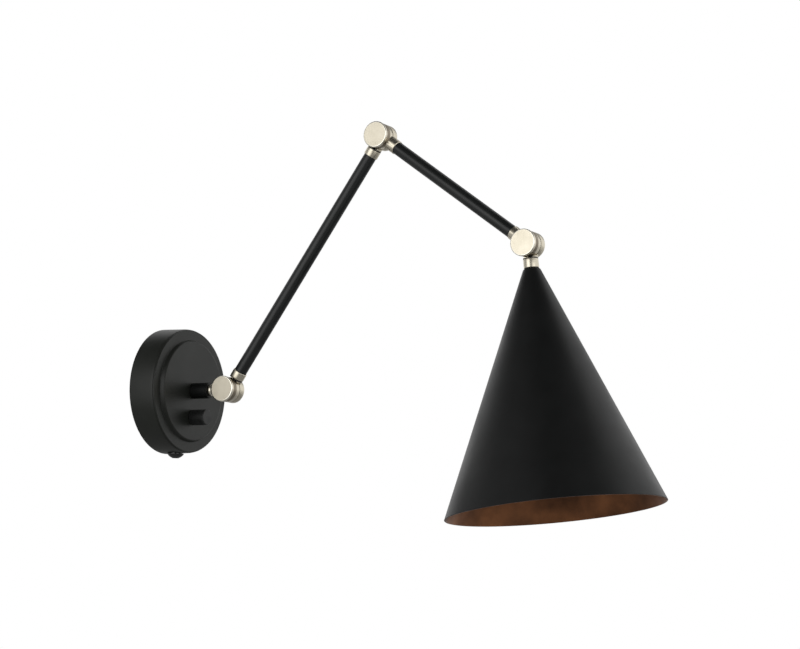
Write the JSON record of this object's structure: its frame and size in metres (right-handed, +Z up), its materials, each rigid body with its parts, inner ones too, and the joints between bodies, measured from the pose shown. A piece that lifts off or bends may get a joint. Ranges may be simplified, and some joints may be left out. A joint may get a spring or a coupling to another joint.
{
  "type": "accordion wall lamp",
  "caption": "Folding wall lamp: round canopy with dimmer knob, two slim arms on nickel swivel knuckles, cone shade with a screw lampholder.",
  "frame": {"origin": "middle of the two box screw slots, on the wall plane", "axes": "+Y into the wall along the box screws, +Z up, +X to the right seen from the room with the wall ahead"},
  "size_m": [0.2058, 0.5472, 0.393],
  "materials": {
    "black_satin_paint": "satin",
    "shade_paint": "satin",
    "nickel": "brushed",
    "plain_steel": "plain",
    "friction_plastic": "plain",
    "black_screw": "satin",
    "green_screw": "satin",
    "bushing_plastic": "gloss",
    "knob_black": "fine matt",
    "dimmer_case": "plain",
    "lead_insulation": "plain",
    "cable_insulation": "plain",
    "connector_plastic": "plain",
    "collar_plastic": "plain",
    "holder_moulding": "phenolic",
    "shell_brass": "plain"
  },
  "bodies": {
    "wall_mount": {"canopy": "black_satin_paint", "wall_bracket": "plain_steel", "ground_screw": "green_screw", "canopy_screw": "black_screw", "cord_bushing": "bushing_plastic", "post": "black_satin_paint", "post_lock_washer": "plain_steel", "post_nut": "plain_steel", "post_nipple": "plain_steel", "dimmer_body": "dimmer_case", "dimmer_nut": "plain_steel", "canopy_leads": "lead_insulation", "wire_connectors": "connector_plastic", "post_cable": "cable_insulation", "wall_knuckle_front": "nickel", "wall_knuckle_cap": "nickel", "wall_knuckle_spring_washer": "plain_steel"},
    "knob": {"knob": "knob_black", "knob_shaft": "plain_steel"},
    "arm_1": {"wall_knuckle_rear": "nickel", "wall_knuckle_cover": "nickel", "wall_knuckle_pivot": "plain_steel", "wall_knuckle_pivot_nut": "plain_steel", "wall_knuckle_friction_washer": "friction_plastic", "arm_1_tube": "black_satin_paint", "arm_1_cable": "cable_insulation", "elbow_knuckle_rear": "nickel", "elbow_knuckle_cover": "nickel", "elbow_knuckle_pivot": "plain_steel", "elbow_knuckle_pivot_nut": "plain_steel", "elbow_knuckle_friction_washer": "friction_plastic"},
    "arm_2": {"elbow_knuckle_front": "nickel", "elbow_knuckle_cap": "nickel", "elbow_knuckle_spring_washer": "plain_steel", "arm_2_tube": "black_satin_paint", "arm_2_cable": "cable_insulation", "shade_knuckle_front": "nickel", "shade_knuckle_cap": "nickel", "shade_knuckle_spring_washer": "plain_steel"},
    "shade_head": {"shade_knuckle_rear": "nickel", "shade_knuckle_cover": "nickel", "shade_knuckle_pivot": "plain_steel", "shade_knuckle_pivot_nut": "plain_steel", "shade_knuckle_friction_washer": "friction_plastic", "shade": "shade_paint", "shade_collar": "collar_plastic", "shade_nut": "plain_steel", "lampholder_nipple": "plain_steel", "lampholder_cable": "cable_insulation", "lampholder_cap": "holder_moulding", "lampholder_body": "holder_moulding", "screw_shell": "shell_brass", "centre_contact": "shell_brass"}
  },
  "joints": [
    {"name": "wall_joint", "type": "hinge", "parent": "wall_mount", "child": "arm_1", "pos_m": [0, -0.077, 0], "axis": [1, 0, 0], "range_deg": [-34.7, 145.3]},
    {"name": "elbow_joint", "type": "hinge", "parent": "arm_1", "child": "arm_2", "pos_m": [0, -0.24665, 0.245], "axis": [-1, 0, 0], "range_deg": [-9.4, 190.6]},
    {"name": "shade_joint", "type": "hinge", "parent": "arm_2", "child": "shade_head", "pos_m": [0, -0.41151, 0.12827], "axis": [1, 0, 0], "range_deg": [-147, 53]},
    {"name": "knob_turn", "type": "hinge", "parent": "wall_mount", "child": "knob", "pos_m": [0, -0.042, -0.027], "axis": [0, -1, 0], "range_deg": [-150, 150]}
  ]
}
